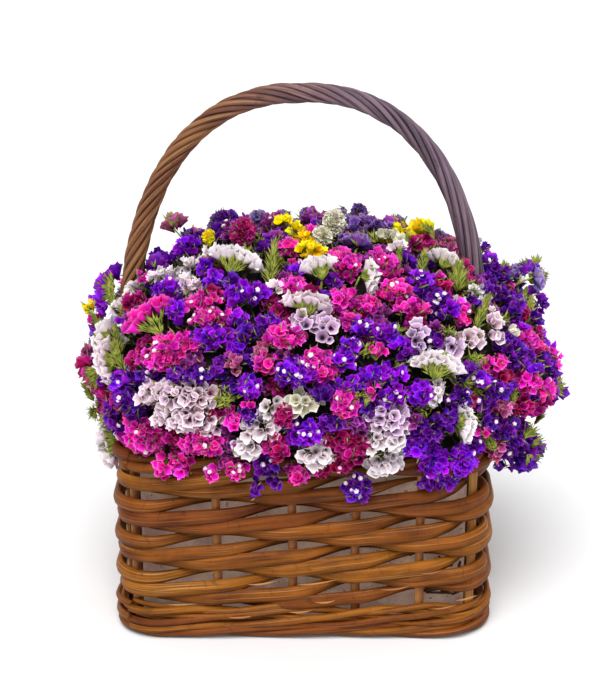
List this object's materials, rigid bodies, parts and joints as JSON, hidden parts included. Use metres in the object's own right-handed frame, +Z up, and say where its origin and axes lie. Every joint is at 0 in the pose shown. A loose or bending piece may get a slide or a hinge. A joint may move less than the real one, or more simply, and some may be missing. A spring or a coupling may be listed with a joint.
{
  "type": "basket of dried statice",
  "caption": "Wicker basket with a roped arch handle, filled with a rounded mound of dried statice flowers.",
  "frame": {"origin": "middle of the basket's underside, on the surface it stands on", "axes": "+Z up, +X to the right as the front is seen, -Y out of the long front side"},
  "size_m": [0.4185, 0.2943, 0.4402],
  "materials": {
    "wicker": "peeled and stained willow rod, satin, with darker grooves",
    "stake_wood": "reddish brown stained stick, matte",
    "handle_wicker": "roped willow, brown on one side and greyer on the other, matte",
    "liner_paper": "taupe lining paper, matte",
    "dry_foam": "dull green dry flower foam",
    "dried_green": "dried green stems and pointed bracts, matte",
    "purple_statice": "vivid purple papery calyces, matte",
    "violet_statice": "deep violet papery calyces, matte",
    "magenta_statice": "vivid magenta papery calyces, matte",
    "plum_statice": "dried plum red papery calyces, matte",
    "dusky_statice": "muted dusky purple papery calyces, matte",
    "lavender_statice": "greyish lavender papery calyces, matte",
    "white_statice": "cream white papery calyces, matte",
    "pale_statice": "pale pinkish lilac papery calyces, matte",
    "yellow_statice": "bright yellow papery calyces, matte"
  },
  "bodies": {
    "root": {"base_and_stakes": "stake_wood", "dusky_head_28": "dusky_statice", "foam_block": "dry_foam", "foot_wale": "wicker", "green_stem_1": "dried_green", "green_stem_2": "dried_green", "green_stem_3": "dried_green", "green_stem_4": "dried_green", "green_stem_5": "dried_green", "green_stem_6": "dried_green", "green_stem_7": "dried_green", "green_stem_8": "dried_green", "handle_core": "stake_wood", "handle_wrap": "handle_wicker", "lavender_head_29": "lavender_statice", "magenta_head_01": "magenta_statice", "magenta_head_03": "magenta_statice", "magenta_head_07": "magenta_statice", "magenta_head_10": "magenta_statice", "magenta_head_11": "magenta_statice", "magenta_head_12": "magenta_statice", "magenta_head_20": "magenta_statice", "magenta_head_23": "magenta_statice", "magenta_head_25": "magenta_statice", "pale_head_08": "pale_statice", "pale_head_14": "pale_statice", "paper_liner": "liner_paper", "plum_head_27": "plum_statice", "plum_head_33": "plum_statice", "purple_head_06": "purple_statice", "purple_head_13": "purple_statice", "purple_head_15": "purple_statice", "purple_head_19": "purple_statice", "purple_head_21": "purple_statice", "purple_head_24": "purple_statice", "rim_border": "wicker", "violet_head_02": "violet_statice", "violet_head_04": "violet_statice", "violet_head_16": "violet_statice", "violet_head_30": "violet_statice", "violet_head_32": "violet_statice", "weaver_1": "wicker", "weaver_2": "wicker", "weaver_3": "wicker", "weaver_4": "wicker", "weaver_5": "wicker", "weaver_6": "wicker", "weaver_7": "wicker", "weaver_8": "wicker", "weaver_9": "wicker", "white_head_05": "white_statice", "white_head_09": "white_statice", "white_head_18": "white_statice", "white_head_22": "white_statice", "white_head_26": "white_statice", "white_head_31": "white_statice", "yellow_head_17": "yellow_statice", "yellow_head_34": "yellow_statice"}
  },
  "joints": []
}
